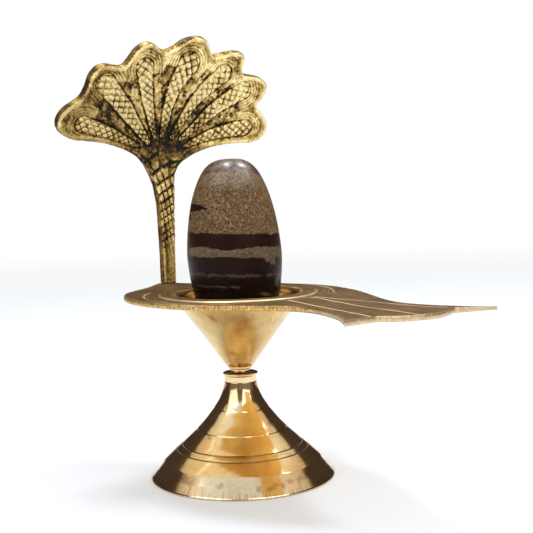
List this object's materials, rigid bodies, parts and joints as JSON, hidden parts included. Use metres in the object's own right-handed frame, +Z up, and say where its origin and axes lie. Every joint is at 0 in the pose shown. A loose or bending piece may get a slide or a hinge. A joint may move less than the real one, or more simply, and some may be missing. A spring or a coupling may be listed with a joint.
{
  "type": "shiva lingam stone on a brass stand",
  "caption": "Upright egg-shaped banded river stone resting in a conical brass cup on a turned base, with a leaf-shaped spouted plate and a lobed naga hood leaning over it.",
  "frame": {"origin": "centre of the flat underside of the turned base", "axes": "+Z up; +X along the plate's spout, away from the naga hood; +Y to the left of the spout, seen from the hood"},
  "size_m": [0.1314, 0.0828, 0.1456],
  "materials": {
    "banded_stone": "smooth polished river stone, speckled grey-tan with dark reddish-brown bands",
    "polished_brass_base": "lathe-turned polished brass with fine turning lines and a few tarnish stains",
    "polished_brass_cup": "polished pale brass with fine turning lines and orange drip stains",
    "brushed_brass_plate": "brushed tarnished brass with engraved lines and a bright filed edge",
    "antique_brass_hood": "cast antique brass, bright on the raised relief and dark in the recesses"
  },
  "bodies": {
    "root": {"stone": "banded_stone", "base": "polished_brass_base", "cup": "polished_brass_cup", "plate": "brushed_brass_plate", "naga_hood": "antique_brass_hood"}
  },
  "joints": []
}
